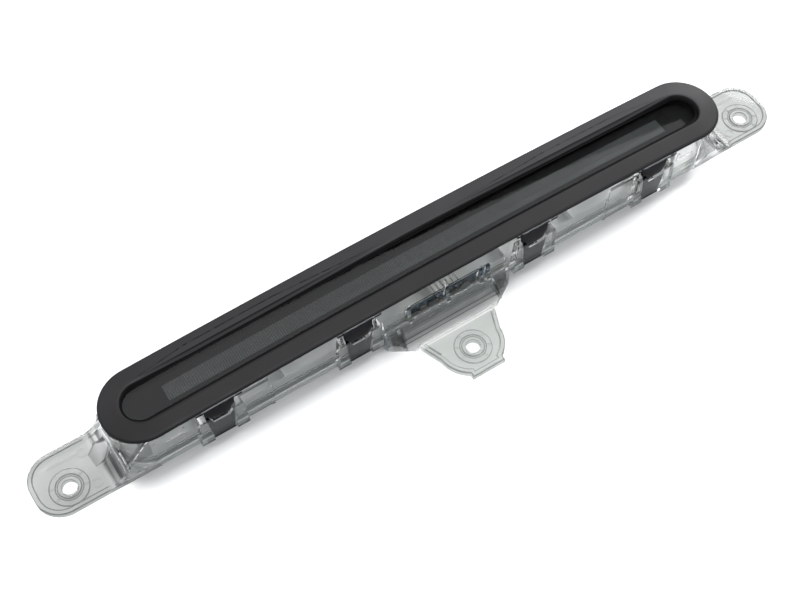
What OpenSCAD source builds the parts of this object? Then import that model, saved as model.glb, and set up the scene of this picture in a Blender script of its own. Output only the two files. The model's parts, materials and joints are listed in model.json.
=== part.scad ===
// Third (high-mounted) brake light: arched LED lamp with a snap-on bezel and three screw tabs.
// Frame: X along the lamp, Z out of the lens. The origin is midway between the two end
// screws, on the seating faces of their tabs. The lamp's own centre line lies at y = lamp_y.

/* [Bezel] */
// Overall length of the bezel ring
bezel_l = 324.4; // [324:0.2:325]
// Overall width of the bezel ring
bezel_w = 36.2; // [36:0.2:37]
// Height of the bezel's top above the end tabs' seats, at the middle
bezel_top = 31.9; // [31:0.1:33]
// How much lower the bezel's ends are than its middle
arch_drop = 3.6; // [3:0.1:4]
// Thickness of the bezel's flat ring
bezel_t = 1.8; // [1.6:0.1:2]
// Length of the window in the bezel
window_l = 305.2; // [304:0.2:306]
// Width of the window in the bezel
window_w = 19; // [18.6:0.2:19.4]
// Depth of the window's lip, down to the lens
lip_drop = 2.7; // [2.6:0.1:2.8]
// Widest reach of the bevel beside the window's upper edge
bevel_w = 3.3; // [2:0.1:3.6]

/* [Housing] */
// Outer width across the housing's long walls
body_w = 29.8; // [29.6:0.1:30]
// Outer width across the housing's end blocks and end tabs
end_w = 30.4; // [30.2:0.1:31]
// Length of the upright part of the housing
body_l = 322; // [321:1:323]
// Thickness of the housing's walls
wall = 2; // [1.8:0.1:2.2]
// Radius of the sweep from each end wall down to its tab
sweep_r = 10; // [9:0.5:11]

/* [Screw tabs] */
// Distance between the two end screws
end_screw_span = 370; // [368:1:372]
// Overall length over the end tabs
overall_l = 401; // [400:1:403]
// Thickness of a tab's plate
tab_t = 2.6; // [2.4:0.1:3]
// Diameter of the screw holes
screw_hole_d = 7; // [6.6:0.1:7.4]
// Outer diameter of the raised screw seat
seat_d = 17; // [16:0.5:18]
// Distance from the lamp's centre line to the centre tab's screw
centre_screw_reach = 38.3; // [38:0.1:39]
// How much lower the centre tab's seat is than the end tabs' seats
centre_tab_drop = 5; // [4:0.5:6]
// Distance from the end screws' line to the lamp's centre line
lamp_y = 4.3; // [4:0.1:4.6]

/* [Snap clips] */
// Distance of the inner clips from the middle
clip_inner_x = 47.3; // [46:0.1:48]
// Distance of the outer clips from the middle
clip_outer_x = 116.4; // [115:0.1:117]
// Width of a clip at its foot
clip_foot_w = 23.5; // [22:0.5:24]
// Width of a clip at its top
clip_head_w = 20.5; // [20:0.5:21]

/* [Optics] */
// Length of the ribbed strip
optic_l = 265; // [260:1:268]
// Width of the ribbed strip
optic_w = 7.8; // [7:0.2:8]
// Width of the ribbed part of the strip
rib_w = 5; // [3:0.2:7]
// Number of ribs on the strip
rib_count = 236; // [150:2:260]
// Height of a rib
rib_h = 0.4; // [0.3:0.1:0.7]
// Number of LEDs
led_count = 24; // [12:2:24]

/* [Hidden] */
$fn = 96;

// Small overlap that makes cuts clean
eps = 0.05;
// Radius of the long arch over the bezel and lens
arch_r = (pow(bezel_l / 2, 2) + pow(arch_drop, 2)) / (2 * arch_drop);
// Depths below the bezel's top, down the stack
lens_depth = 2.8;
lens_t = 2.4;
seal_depth = bezel_t;
rim_depth = 2.4;
rim_h = 1.5;
rim_out = 1.2;
frame_depth = lens_depth + lens_t + 0.3;
frame_t = 1.5;
ledge_depth = frame_depth + frame_t;
ledge_t = 1.8;
optic_depth = frame_depth - 0.2;
// Half sizes
half_w = body_w / 2;
half_l = body_l / 2;
end_x = 146.6;
inner_w = body_w - 2 * wall;
// The housing's foot and the tabs
foot_z = -3;
seat_h = 0.4;
tab_top = -seat_h;
shoulder_z = sweep_r + tab_top;
tab_lip = 2;
recess_floor = -1.8;
tab_r = 12.6;
channel_w = 0.45;
channel_t = 0.2;
centre_top = tab_top - centre_tab_drop;
apron_t = 1.5;
// Clips
clip_xs = [-clip_outer_x, -clip_inner_x, clip_inner_x, clip_outer_x];
clip_out = 4;
clip_plate_t = 1.4;
clip_bottom_z = 0.5;
clip_top_z = 20.5;
tongue_t = 1.6;
tongue_gap = 0.4;
tongue_foot_w = 10.4;
tongue_head_w = 15.6;
// Boards
led_board_z = 14;
board_t = 1.6;
led_pitch = optic_l / led_count;
driver_x = 3;
driver_w = 46;
driver_z = 1.25;
driver_h = 7.6;
driver_y = -12.4;
// Rear cover, set into the foot
cover_gap = 0.3;
cover_t = 2;
cover_bottom = foot_z;
cover_top = cover_bottom + cover_t;
rear_seal_t = 0.6;
step_z = cover_top + rear_seal_t;
step_t = 1.6;
step_w = 2;
cover_l = body_l - 2 * wall;
pan_w = 16;
pan_l = 292;
pan_wall = 1.6;
rear_z = -8.6;
screw_y = 10.8;
boss_r = 2.6;
boss_top = 7;
pilot_d = 2.1;
// Connector
conn_w = 15;
conn_h = 10;
conn_z = 6;
conn_reach = 11;
conn_seal_t = 1;
collar_t = 1.6;
pin_x = 3.2;
pin_t = 0.8;
link_pin_count = 6;
link_pitch = 2.54;
link_y = -5.2;
link_z = 7.5;
// Vent
vent_x = -32;
vent_z = 9;

// ---------- shared shapes ----------

module at_lamp() {
    translate([0, lamp_y, 0]) children();
}

module both_sides() {
    children();
    mirror([0, 1, 0]) children();
}

module both_ends() {
    children();
    mirror([1, 0, 0]) children();
}

// Flat outline with straight sides and half-round ends
module stadium(l, w) {
    square([l - w, w], center = true);
    for (s = [-1, 1])
        translate([s * (l - w) / 2, 0]) circle(d = w);
}

// Everything below the arch, at a depth under the bezel's top
module under_arch(depth) {
    translate([0, 0, bezel_top - arch_r])
        rotate([90, 0, 0])
        cylinder(r = arch_r - depth, h = 120, center = true, $fn = 2880);
}

// Arched plate with a stadium outline, between two depths
module arched_plate(l, w, depth_1, depth_2) {
    difference() {
        intersection() {
            translate([0, 0, 10]) linear_extrude(30) stadium(l, w);
            under_arch(depth_1);
        }
        under_arch(depth_2);
    }
}

module arched_ring(l, w, hole_l, hole_w, depth_1, depth_2) {
    difference() {
        arched_plate(l, w, depth_1, depth_2);
        translate([0, 0, 5]) linear_extrude(40) stadium(hole_l, hole_w);
    }
}

// Upright trapezoid on the outside of the front wall, centred on x = 0
module wall_wedge(foot_w, head_w, z_1, z_2, y_1, y_2) {
    translate([0, -y_1, 0])
        rotate([90, 0, 0])
        linear_extrude(y_2 - y_1)
        polygon([[-foot_w / 2, z_1], [foot_w / 2, z_1], [head_w / 2, z_2], [-head_w / 2, z_2]]);
}

// ---------- bezel ----------

// Tongue that drops from the ring through the clip and hooks under its plate
module tongue() {
    y_1 = half_w + tongue_gap;
    wall_wedge(tongue_foot_w, tongue_head_w, clip_bottom_z + 0.4, bezel_top,
        y_1, y_1 + tongue_t);
    wall_wedge(tongue_foot_w - 1, tongue_foot_w - 1, clip_bottom_z + 0.4, clip_bottom_z + 1.8,
        y_1 + tongue_t - eps, y_1 + tongue_t + 0.9);
}

// Bevel cut beside the window: it opens from the middle and closes before the round end
module bevel_cut() {
    edge = window_w / 2;
    crease = edge + bevel_w;
    over = 5;
    hull() {
        for (z = [0, over])
            translate([0, 0, bezel_top + z])
            linear_extrude(0.01)
            polygon([[12, edge], [72, crease], [116, crease], [142, edge - 0.4],
                [140, edge - 1], [14, edge - 1]]);
        translate([0, 0, bezel_top - 3.4])
            linear_extrude(0.01)
            polygon([[72, edge], [120, edge], [120, edge - 1], [72, edge - 1]]);
    }
}

module bezel() {
    color("#29292b") at_lamp() {
        difference() {
            union() {
                arched_plate(bezel_l, bezel_w, 0, bezel_t);
                arched_plate(window_l + 4, window_w + 4, 0, lip_drop);
            }
            translate([0, 0, 5]) linear_extrude(40) stadium(window_l, window_w);
            both_ends() bevel_cut();
        }
        intersection() {
            both_sides() for (x = clip_xs) translate([x, 0, 0]) tongue();
            under_arch(bezel_t - 0.2);
        }
    }
}

module bezel_seal() {
    color("#1a1a1c") at_lamp()
        arched_ring(body_l + 0.4, body_w - 0.6, body_l - 5, body_w - 5, seal_depth, rim_depth);
}

// ---------- lens ----------

module outer_lens() {
    color("#2c302f", 0.8) at_lamp()
        arched_plate(body_l - 2 * wall - 1, inner_w - 0.6, lens_depth, lens_depth + lens_t);
}

module lens_bead() {
    color("#45494a") at_lamp()
        arched_ring(body_l - 2 * wall, inner_w, body_l - 2 * wall - 1, inner_w - 0.6,
            lens_depth + 0.3, lens_depth + lens_t);
}

// ---------- housing ----------

// Side outline of one end block: sloped shoulder, upright end and sweep down to the tab
module end_outline(inset) {
    x_in = end_x + inset;
    x_end = half_l - inset;
    x_tab = half_l + sweep_r - (inset > 0 ? 3 : 0);
    z_in = shoulder_z + (x_end - x_in) * 14 / 11;
    difference() {
        polygon([[x_in, foot_z - inset], [x_tab, foot_z - inset], [x_tab, shoulder_z],
            [x_end, shoulder_z], [x_in, z_in - inset]]);
        translate([half_l + sweep_r, shoulder_z]) circle(r = sweep_r + inset);
    }
}

module end_block(inset) {
    rotate([90, 0, 0])
        linear_extrude(end_w - 2 * inset, center = true)
        end_outline(inset);
}

module body_solid() {
    both_ends() end_block(0);
    intersection() {
        translate([0, 0, foot_z]) linear_extrude(40) stadium(body_l, body_w);
        under_arch(rim_depth);
    }
    arched_plate(body_l + 2 * rim_out, body_w + 2 * rim_out, rim_depth, rim_depth + rim_h);
}

// The sealed inside, which reaches into the end blocks above the foot step, and the open
// pockets under the shoulders and sweeps
module body_cavity() {
    room_foot = step_z + step_t;
    translate([0, 0, foot_z - 1]) linear_extrude(50) stadium(body_l - 2 * wall, inner_w);
    both_ends() {
        intersection() {
            end_block(wall);
            translate([100, -20, room_foot]) cube([half_l - 0.5 - 100, 40, 40]);
        }
        difference() {
            end_block(wall);
            translate([100, -20, step_z]) cube([half_l + 1.5 - 100, 40, 40]);
            translate([0, 0, foot_z - 5]) linear_extrude(50) stadium(body_l, body_w);
        }
    }
}

module end_tab() {
    x_1 = half_l + sweep_r - 1;
    x_2 = overall_l / 2;
    w = end_w / 2;
    translate([0, 0, tab_top - tab_t])
        linear_extrude(tab_t)
        tab_outline(x_1, x_2, w, tab_r);
    // Low lip along the upper edge
    translate([0, 0, tab_top - 0.1])
        linear_extrude(0.4)
        difference() {
            tab_outline(x_1, x_2, w, tab_r);
            tab_outline(x_1 - 1, x_2 - tab_lip, w - tab_lip, tab_r - tab_lip);
        }
}

// Rectangle with its two outer corners rounded
module tab_outline(x_1, x_2, w, r) {
    translate([x_1, -w]) square([x_2 - r - x_1, 2 * w]);
    translate([x_1, -w + r]) square([x_2 - x_1, 2 * (w - r)]);
    for (s = [-1, 1])
        translate([x_2 - r, s * (w - r)]) circle(r = r);
}

// Six-sided outline of the recess in a sweep, grown by g
module recess_outline(g) {
    polygon([[162.6 - g, 2.6 - 0.6 * g], [167 - 0.3 * g, -1 - g], [171.2 + g, -1.4 - g],
        [172 + g, 5 + 0.3 * g], [167.4, 8.6 + 1.1 * g], [162.6 - g, 7.4 + 0.6 * g]]);
}

// Raised screw seat, cut into short pads, with its hole
module screw_seat() {
    translate([0, 0, -0.1]) {
        difference() {
            cylinder(d = seat_d, h = seat_h + 0.1);
            translate([0, 0, -1]) cylinder(d = seat_d - 4.4, h = 3);
            for (a = [0 : 45 : 135])
                rotate([0, 0, a + 20])
                translate([0, 0, 1.15]) cube([seat_d + 2, 0.7, 2], center = true);
        }
        cylinder(d = screw_hole_d + 3, h = seat_h + 0.1);
    }
}

// Shallow channels round the pads and the middle of a seat
module seat_channels() {
    for (d = [seat_d, seat_d - 4.4 - 2 * channel_w, screw_hole_d + 3])
        translate([0, 0, -channel_t])
        difference() {
            cylinder(d = d + 2 * channel_w, h = 1);
            translate([0, 0, -1]) cylinder(d = d, h = 3);
        }
}

// Shallow channels at the outer edge of an end tab and inside its lip
module end_channels() {
    x_1 = half_l + sweep_r;
    x_2 = overall_l / 2;
    w = end_w / 2;
    for (g = [0, tab_lip])
        translate([0, 0, tab_top - channel_t])
        linear_extrude(1)
        difference() {
            tab_outline(x_1, x_2 - g, w - g, tab_r - g);
            tab_outline(x_1 - 1, x_2 - g - channel_w, w - g - channel_w, tab_r - g - channel_w);
        }
}

// The same channels on the centre tab, which stop short of the crease
module centre_channels() {
    for (g = [0, tab_lip])
        translate([0, 0, centre_top - channel_t])
        linear_extrude(1)
        difference() {
            centre_outline(g);
            centre_outline(g + channel_w);
            translate([-30, -28]) square([60, 10]);
        }
}

// Plain moulding rings and a thin ridge beside the seat
module tab_marks() {
    for (y = [11.6, -4.8])
        translate([-11, y, -0.1])
        difference() {
            cylinder(d = 4.6, h = 0.35);
            translate([0, 0, -1]) cylinder(d = 3.4, h = 2);
        }
    translate([-8.8, 11.9, -0.1]) cube([13.8, 0.8, 0.35]);
}

module centre_outline(shrink) {
    r = 16.2;
    difference() {
        union() {
            translate([0, -35.5]) circle(r = r - shrink);
            polygon([[-21 + shrink, -24], [21 - shrink, -24], [16.2 - shrink, -36.5],
                [-16.2 + shrink, -36.5]]);
            translate([-8.6 + shrink, -51.6 + shrink]) square([17.2 - 2 * shrink, 10]);
        }
        translate([-30, -80 + shrink]) square([60, 80 - 51.6]);
        translate([-30, -24]) square([60, 20]);
    }
}

module centre_tab() {
    translate([0, 0, centre_top - tab_t]) linear_extrude(tab_t) centre_outline(0);
    // Raised edge along the outline
    translate([0, 0, centre_top - 0.1])
        linear_extrude(0.6)
        difference() {
            centre_outline(0);
            centre_outline(tab_lip);
            translate([-19, -28]) square([38, 8]);
        }
    // Short ribs beside the crease
    for (s = [-1, 1])
        translate([s * 18.2, -26, centre_top - 0.1])
        rotate([0, 0, s * -22])
        translate([-0.4, -9, 0]) cube([0.8, 9, 0.9]);
}

// Hollow apron that sweeps from the front wall out to the centre tab
module apron_profile(inset) {
    crease_y = -25.2;
    top_z = 14;
    run = -half_w - crease_y;
    fall = top_z - centre_top;
    r = (run * run + fall * fall) / (2 * run);
    difference() {
        translate([crease_y + inset * 0.6, centre_top - tab_t - inset])
            square([run + inset * 0.4 + 1, fall + tab_t + inset]);
        translate([-half_w - r, top_z]) circle(r = r + inset, $fn = 192);
    }
}

module apron_plan(inset) {
    y_in = eps - inner_w / 2;
    polygon([[-35 + inset, y_in], [35 - inset, y_in], [33.6 - inset, -18.4],
        [21.2 - inset * 0.7, -26], [-21.2 + inset * 0.7, -26], [-33.6 + inset, -18.4]]);
}

module apron_solid(inset) {
    intersection() {
        rotate([90, 0, 90])
            linear_extrude(80, center = true)
            apron_profile(inset);
        translate([0, 0, -20]) linear_extrude(40) apron_plan(inset);
    }
}

module apron() {
    difference() {
        apron_solid(0);
        // Open pocket below, outside the front wall
        intersection() {
            apron_solid(apron_t);
            translate([-50, -half_w - 50 + eps, step_z - 30]) cube([100, 50, 30]);
        }
    }
    // Corner gussets
    for (s = [-1, 1])
        translate([s * 26, 0, 0])
        rotate([90, 0, 90])
        linear_extrude(1.2, center = true)
        intersection() {
            apron_profile(0);
            polygon([[-15, -7], [-23.4, -7], [-15, step_z + step_t]]);
        }
    // Thin ridge along the crease
    translate([-20.4, -25.9, centre_top - 0.1]) cube([40.8, 0.9, 0.6]);
}

// Room in front of the driver board, open to the inside of the lamp
module apron_room() {
    intersection() {
        apron_solid(apron_t);
        translate([-50, -half_w - 50, step_z + step_t]) cube([100, 60, 12 - step_z - step_t]);
    }
}

// Loop that holds a bezel tongue
module clip_loop() {
    difference() {
        wall_wedge(clip_foot_w, clip_head_w, clip_bottom_z, clip_top_z,
            half_w - 0.5, half_w + clip_out);
        tongue_way(clip_out - clip_plate_t);
        // U notch in the plate's top edge
        wall_wedge(8.4, 12.4, 16.4, clip_top_z + 1, half_w - 1, half_w + clip_out + 1);
        // Mouth under the plate for the hook
        wall_wedge(tongue_foot_w + 0.8, tongue_foot_w + 0.8, clip_bottom_z - 1,
            clip_bottom_z + 2.1, half_w + 1, half_w + clip_out + 1);
    }
}

// Strips under the bezel that pass in front of the tongues' roots
module guide_strips() {
    intersection() {
        both_sides() for (x = clip_xs)
            translate([x, 0, 0])
            wall_wedge(clip_head_w + 1.5, clip_head_w + 1.5, 20, 34, half_w - 0.5, half_w + 3.2);
        difference() {
            under_arch(rim_depth);
            under_arch(rim_depth + rim_h);
        }
    }
}

// Room for a tongue, with clearance at its sides
module tongue_way(depth) {
    wall_wedge(tongue_foot_w + 0.8, tongue_head_w + 0.8, clip_bottom_z - 1, bezel_top,
        half_w, half_w + depth);
}

// Bosses for the rear cover screws, behind the clips
module cover_bosses() {
    both_sides() for (x = clip_xs)
        translate([x, screw_y, step_z])
        cylinder(r = boss_r, h = boss_top - step_z);
}

// Guide ribs from the apron's shell, which the driver board stands against
module board_guides() {
    y_board = driver_y - eps;
    for (x = [-19.6, 1.2, 19.5, 23.5])
        translate([x, 0, 0])
        rotate([90, 0, 90])
        linear_extrude(2, center = true)
        polygon([[-18.4, step_z], [y_board, step_z], [y_board, 12.6], [-13.6, 12.6],
            [-15.2, 7.6], [-16.6, 3.6]]);
}

// Step round the inside of the walls, which the rear seal sits under
module foot_step() {
    translate([0, 0, step_z])
        linear_extrude(step_t)
        difference() {
            stadium(cover_l + 1, inner_w + 1);
            stadium(cover_l - 2 * step_w, inner_w - 2 * step_w);
        }
}

// Small ribs and steps on the outside of the long walls
module wall_details() {
    both_sides() both_ends() {
        translate([90.6, -half_w - 0.7, foot_z]) cube([1.4, 1.2, 16]);
        translate([92, -half_w - 0.35, foot_z]) cube([clip_outer_x - 10.5 - 92, 1, 24]);
        translate([132.5, -half_w - 0.5, 13.5]) cube([9.5, 1, 1.2]);
        translate([132.5, -half_w - 0.5, 13.5]) cube([1.2, 1, 5]);
        translate([146.6, -half_w - 0.4, foot_z]) cube([1.2, 1, 21]);
    }
}

module housing() {
    color("#aab4ad", 0.55) {
        difference() {
            union() {
                at_lamp() {
                    difference() {
                        union() {
                            body_solid();
                            both_sides() for (x = clip_xs) translate([x, 0, 0]) clip_loop();
                            guide_strips();
                            apron();
                            wall_details();
                        }
                        body_cavity();
                        apron_room();
                        // The tongues pass through the rim
                        both_sides() for (x = clip_xs)
                            translate([x, 0, 0]) tongue_way(clip_out - clip_plate_t - 0.2);
                    }
                    arched_ring(body_l - 2 * wall + 1, inner_w + 1, body_l - 2 * wall - 4,
                        inner_w - 4, ledge_depth, ledge_depth + ledge_t);
                    both_ends() {
                        end_tab();
                        // Walls and floor round the sweep's recess
                        intersection() {
                            end_block(0);
                            translate([0, 0, recess_floor - 1]) linear_extrude(20) recess_outline(1);
                        }
                    }
                    centre_tab();
                    board_guides();
                    foot_step();
                    cover_bosses();
                }
                both_ends() translate([end_screw_span / 2, 0, tab_top]) {
                    screw_seat();
                    tab_marks();
                }
                translate([0, lamp_y - centre_screw_reach, centre_top]) screw_seat();
            }
            at_lamp() {
                both_ends() end_channels();
                centre_channels();
            }
            both_ends() translate([end_screw_span / 2, 0, tab_top]) seat_channels();
            translate([0, lamp_y - centre_screw_reach, centre_top]) seat_channels();
            both_ends() translate([end_screw_span / 2, 0, -10]) cylinder(d = screw_hole_d, h = 20);
            translate([0, lamp_y - centre_screw_reach, -20]) cylinder(d = screw_hole_d, h = 30);
            at_lamp() both_sides() for (x = clip_xs)
                translate([x, screw_y, foot_z]) cylinder(d = pilot_d, h = boss_top - foot_z - 1.5);
            // Blind recesses in the end sweeps
            at_lamp() both_ends()
                translate([0, 0, recess_floor])
                linear_extrude(10)
                recess_outline(0);
            // Opening for the connector
            at_lamp() translate([-conn_w / 2 - 0.2, half_w - wall - 1, conn_z - conn_h / 2 - 0.2])
                cube([conn_w + 0.4, wall + 2, conn_h + 0.4]);
            // Vent hole
            at_lamp() translate([vent_x, half_w - wall - 1, vent_z])
                rotate([-90, 0, 0]) cylinder(d = 3, h = wall + 2);
        }
    }
}

// ---------- optics ----------

// Height of the arch over the strip
function optic_z(x) = bezel_top - arch_r + sqrt(pow(arch_r - optic_depth, 2) - x * x);

// One half of the strip: its upper outline is closed along the strip's foot
module optic_half(outline, y_1, w) {
    foot = led_board_z + board_t + 3.9;
    translate([0, y_1 + w, 0])
        rotate([90, 0, 0])
        linear_extrude(w)
        polygon(concat(outline, [[optic_l / 2, foot], [-optic_l / 2, foot]]));
}

// Clear strip over the LEDs: cross ribs over its upper part and a plain band below them
module inner_optic() {
    pitch = optic_l / rib_count;
    xs = [for (i = [0 : rib_count]) i * pitch - optic_l / 2];
    plain_w = optic_w - rib_w;
    color("#8d9692", 0.9) at_lamp() {
        optic_half([for (x = xs) each [[x, optic_z(x) - rib_h],
            [min(x + pitch / 2, optic_l / 2), optic_z(x) - (x < optic_l / 2 ? 0 : rib_h)]]],
            -optic_w / 2 + plain_w, rib_w);
        optic_half([for (x = xs) [x, optic_z(x) - rib_h]], -optic_w / 2, plain_w);
    }
}

// Dark mask under the lens, with a channel that holds the strip and the reflector
module optic_frame() {
    slot_l = optic_l + 0.6;
    slot_w = optic_w + 0.4;
    channel_t = 2.4;
    channel_depth = 13.6;
    bar_x = slot_l / 2 + 5;
    color("#18191a") at_lamp()
        difference() {
            union() {
                arched_plate(body_l - 2 * wall - 0.6, inner_w - 0.4, frame_depth,
                    frame_depth + frame_t);
                intersection() {
                    translate([-slot_l / 2 - 3, -slot_w / 2 - channel_t, 0])
                        cube([slot_l + 6, slot_w + 2 * channel_t, 40]);
                    difference() {
                        under_arch(frame_depth + 0.5);
                        under_arch(channel_depth);
                    }
                }
                // Feet on the LED board
                for (x = [-66, 0, 66]) for (s = [-1, 1])
                    translate([x - 2, s * (slot_w + channel_t) / 2 - channel_t / 2, led_board_z + board_t])
                        cube([4, channel_t, 5]);
                // Low bars beside the strip's ends
                intersection() {
                    for (s = [-1, 1])
                        translate([s * bar_x - 0.4, -9.5, 15]) cube([0.8, 19, 20]);
                    difference() {
                        under_arch(frame_depth - 0.25);
                        under_arch(frame_depth + 0.5);
                    }
                }
            }
            translate([-slot_l / 2, -slot_w / 2, 0]) cube([slot_l, slot_w, 50]);
        }
}

module reflector() {
    color("#d9dcdc") at_lamp()
        difference() {
            translate([-optic_l / 2, -optic_w / 2, led_board_z + board_t + eps])
                cube([optic_l, optic_w, 3.7]);
            for (i = [0 : led_count - 1])
                translate([led_x(i), 0, led_board_z]) cylinder(d1 = 4.6, d2 = 7, h = 5.6);
            for (x = screw_xs())
                translate([x, 0, led_board_z]) cylinder(d = 2.1, h = 4);
        }
}

// ---------- LED board ----------

module led_board() {
    color("#1f5d3a") at_lamp()
        difference() {
            translate([-optic_l / 2 - 4, -7, led_board_z]) cube([optic_l + 8, 14, board_t]);
            for (x = screw_xs())
                translate([x, 0, led_board_z - 1]) cylinder(d = 2.4, h = 4);
            for (x = link_xs())
                translate([x, link_y, led_board_z - 1]) cylinder(d = 1, h = 4);
            for (s = [-1, 1])
                translate([s * pin_x, -link_y, led_board_z - 1]) cylinder(d = 1.3, h = 4);
        }
}

function led_x(i) = (i - (led_count - 1) / 2) * led_pitch;

function screw_xs() = [for (i = [-2 : 2]) i * 5 * led_pitch];

function link_xs() = [for (i = [0 : link_pin_count - 1])
    driver_x + (i - (link_pin_count - 1) / 2) * link_pitch];

module leds() {
    color("#e8e0c0") at_lamp()
        for (i = [0 : led_count - 1])
            translate([led_x(i), 0, led_board_z + board_t]) {
                translate([-1.75, -1.4, 0]) cube([3.5, 2.8, 1.1]);
                translate([0, 0, 1]) cylinder(d = 2.2, h = 0.4);
            }
}

module led_resistors() {
    color("#202022") at_lamp()
        for (i = [0 : led_count / 3 - 1])
            translate([(i - (led_count / 3 - 1) / 2) * led_pitch * 3 + 3, 4.4, led_board_z - 0.55])
            cube([1.6, 0.8, 0.55]);
}

module led_board_screws() {
    color("#b8bbbd") at_lamp()
        for (x = screw_xs())
            translate([x, 0, led_board_z - 1.4]) {
                cylinder(d = 4, h = 1.4);
                cylinder(d = 2, h = 3.4);
            }
}

// ---------- driver board ----------

// Places a part on the front face of the driver board
module on_driver(x, z) {
    translate([x, driver_y, z]) children();
}

module driver_board() {
    color("#27344c") at_lamp()
        difference() {
            translate([driver_x - driver_w / 2, driver_y, driver_z])
                cube([driver_w, board_t, driver_h]);
            for (x = link_xs())
                translate([x, driver_y - 1, link_z]) rotate([-90, 0, 0]) cylinder(d = 1, h = 4);
        }
}

// Body of a surface-mount part: size along x, out from the board, and along z
module chip_block(size) {
    translate([-size[0] / 2, -size[1], -size[2] / 2]) cube(size);
}

module driver_chip() {
    color("#1b1c1f") at_lamp()
        on_driver(-6, 5) {
            translate([0, -0.1, 0]) chip_block([5, 1.2, 4]);
            for (s = [-1, 1]) for (i = [0 : 3])
                translate([(i - 1.5) * 1.27, 0, s * 2.5]) chip_block([0.4, 0.2, 1.2]);
        }
}

module driver_inductor() {
    color("#26282b") at_lamp()
        on_driver(11.3, 4.9) {
            chip_block([6.4, 0.4, 6.4]);
            rotate([90, 0, 0]) cylinder(d = 5.8, h = 1.5);
        }
}

module driver_capacitors() {
    color("#9a7c58") at_lamp()
        for (p = [[-11.5, 6.4], [-11.5, 3.4], [16.4, 3], [-1.6, 2.6]])
            on_driver(p[0], p[1]) chip_block([2.4, 1.2, 1.6]);
}

module driver_diodes() {
    color("#222326") at_lamp()
        for (p = [[-16, 4], [4.9, 5]])
            on_driver(p[0], p[1]) {
                translate([0, -0.05, 0]) chip_block([4.3, 1.4, 2.6]);
                chip_block([5.2, 0.3, 1.5]);
            }
}

module driver_resistors() {
    color("#303236") at_lamp()
        for (p = [[-16.2, 6.8], [-1.6, 5], [4.9, 2.4], [16.4, 5.4], [21.5, 3]])
            on_driver(p[0], p[1]) chip_block([1.6, 0.5, 0.8]);
}

// Right-angle pins that join the two boards
module board_link_pins() {
    color("#c8a95a") at_lamp()
        for (x = link_xs()) {
            translate([x - 0.32, driver_y - 0.6, link_z - 0.32])
                cube([0.64, link_y - driver_y + 0.92, 0.64]);
            translate([x - 0.32, link_y - 0.32, link_z - 0.32])
                cube([0.64, 0.64, led_board_z + board_t - link_z + 0.32]);
        }
}

// ---------- connector ----------

// Block centred on the connector's axis, between two distances from the lamp's centre line
module conn_block(w, h, y_1, y_2) {
    translate([-w / 2, y_1, conn_z - h / 2]) cube([w, y_2 - y_1, h]);
}

module connector_shell() {
    y_in = half_w - wall - 1;
    y_collar = half_w + conn_seal_t;
    y_out = half_w + conn_reach;
    color("#202124") at_lamp()
        difference() {
            union() {
                conn_block(conn_w, conn_h, y_in, y_out);
                conn_block(conn_w + 4, conn_h + 3, y_collar, y_collar + collar_t);
                // Latch ramp for the plug
                translate([-2, y_out - 5, conn_z + conn_h / 2 - eps]) cube([4, 3, 1]);
            }
            conn_block(conn_w - 2.6, conn_h - 2.6, half_w + 3, y_out + 1);
            for (s = [-1, 1])
                translate([s * pin_x, 0, 0]) conn_block(pin_t + 0.1, pin_t + 0.1, 0, 30);
        }
}

module connector_pins() {
    color("#c9b27a") at_lamp()
        for (s = [-1, 1])
            translate([s * pin_x - pin_t / 2, -link_y - pin_t / 2, conn_z - pin_t / 2]) {
                cube([pin_t, half_w + conn_reach - 2.5 + link_y + pin_t / 2, pin_t]);
                cube([pin_t, pin_t, led_board_z + board_t - conn_z + pin_t / 2]);
            }
}

module connector_seal() {
    color("#7d3b2a") at_lamp()
        difference() {
            conn_block(conn_w + 3.4, conn_h + 2.4, half_w, half_w + conn_seal_t);
            conn_block(conn_w, conn_h, half_w - 1, half_w + conn_seal_t + 1);
        }
}

// ---------- rear ----------

module rear_cover() {
    color("#b9bdbb") at_lamp() {
        difference() {
            union() {
                translate([0, 0, cover_bottom])
                    linear_extrude(cover_t)
                    stadium(cover_l - 2 * cover_gap, inner_w - 2 * cover_gap);
                translate([0, 0, rear_z])
                    linear_extrude(cover_bottom - rear_z + 1)
                    stadium(pan_l, pan_w);
            }
            translate([0, 0, rear_z + pan_wall])
                linear_extrude(10)
                stadium(pan_l - 2 * pan_wall, pan_w - 2 * pan_wall);
            both_sides() for (x = clip_xs)
                translate([x, screw_y, rear_z]) cylinder(d = 2.8, h = 10);
        }
        // Stiffening ribs across the pan
        for (x = [-120 : 40 : 120])
            translate([x - 0.7, -pan_w / 2 + 1, rear_z + 1]) cube([1.4, pan_w - 2, 5]);
        // Fingers behind the driver board
        for (x = [-14, 20])
            translate([driver_x + x - 5, driver_y + board_t + 0.3, cover_top - eps])
            cube([4, 1.6, 5.6]);
    }
}

module rear_seal() {
    color("#1d1d1f") at_lamp()
        translate([0, 0, cover_top])
        linear_extrude(rear_seal_t)
        difference() {
            stadium(cover_l - 0.4, inner_w - 0.4);
            stadium(cover_l - 2 * step_w + 0.4, inner_w - 2 * step_w + 0.4);
            for (sy = [-1, 1]) for (x = clip_xs)
                translate([x, sy * screw_y]) circle(d = 2.4);
        }
}

module rear_cover_screws() {
    head_h = 1.6;
    slot_w = 0.6;
    color("#8f9396") at_lamp()
        both_sides() for (x = clip_xs)
            translate([x, screw_y, cover_bottom]) {
                translate([0, 0, -head_h])
                    difference() {
                        cylinder(d = 4.4, h = head_h);
                        for (a = [0, 90])
                            rotate([0, 0, a])
                            translate([-1.3, -slot_w / 2, -1]) cube([2.6, slot_w, 1.8]);
                    }
                cylinder(d = 2, h = cover_t + 5);
            }
}

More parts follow.
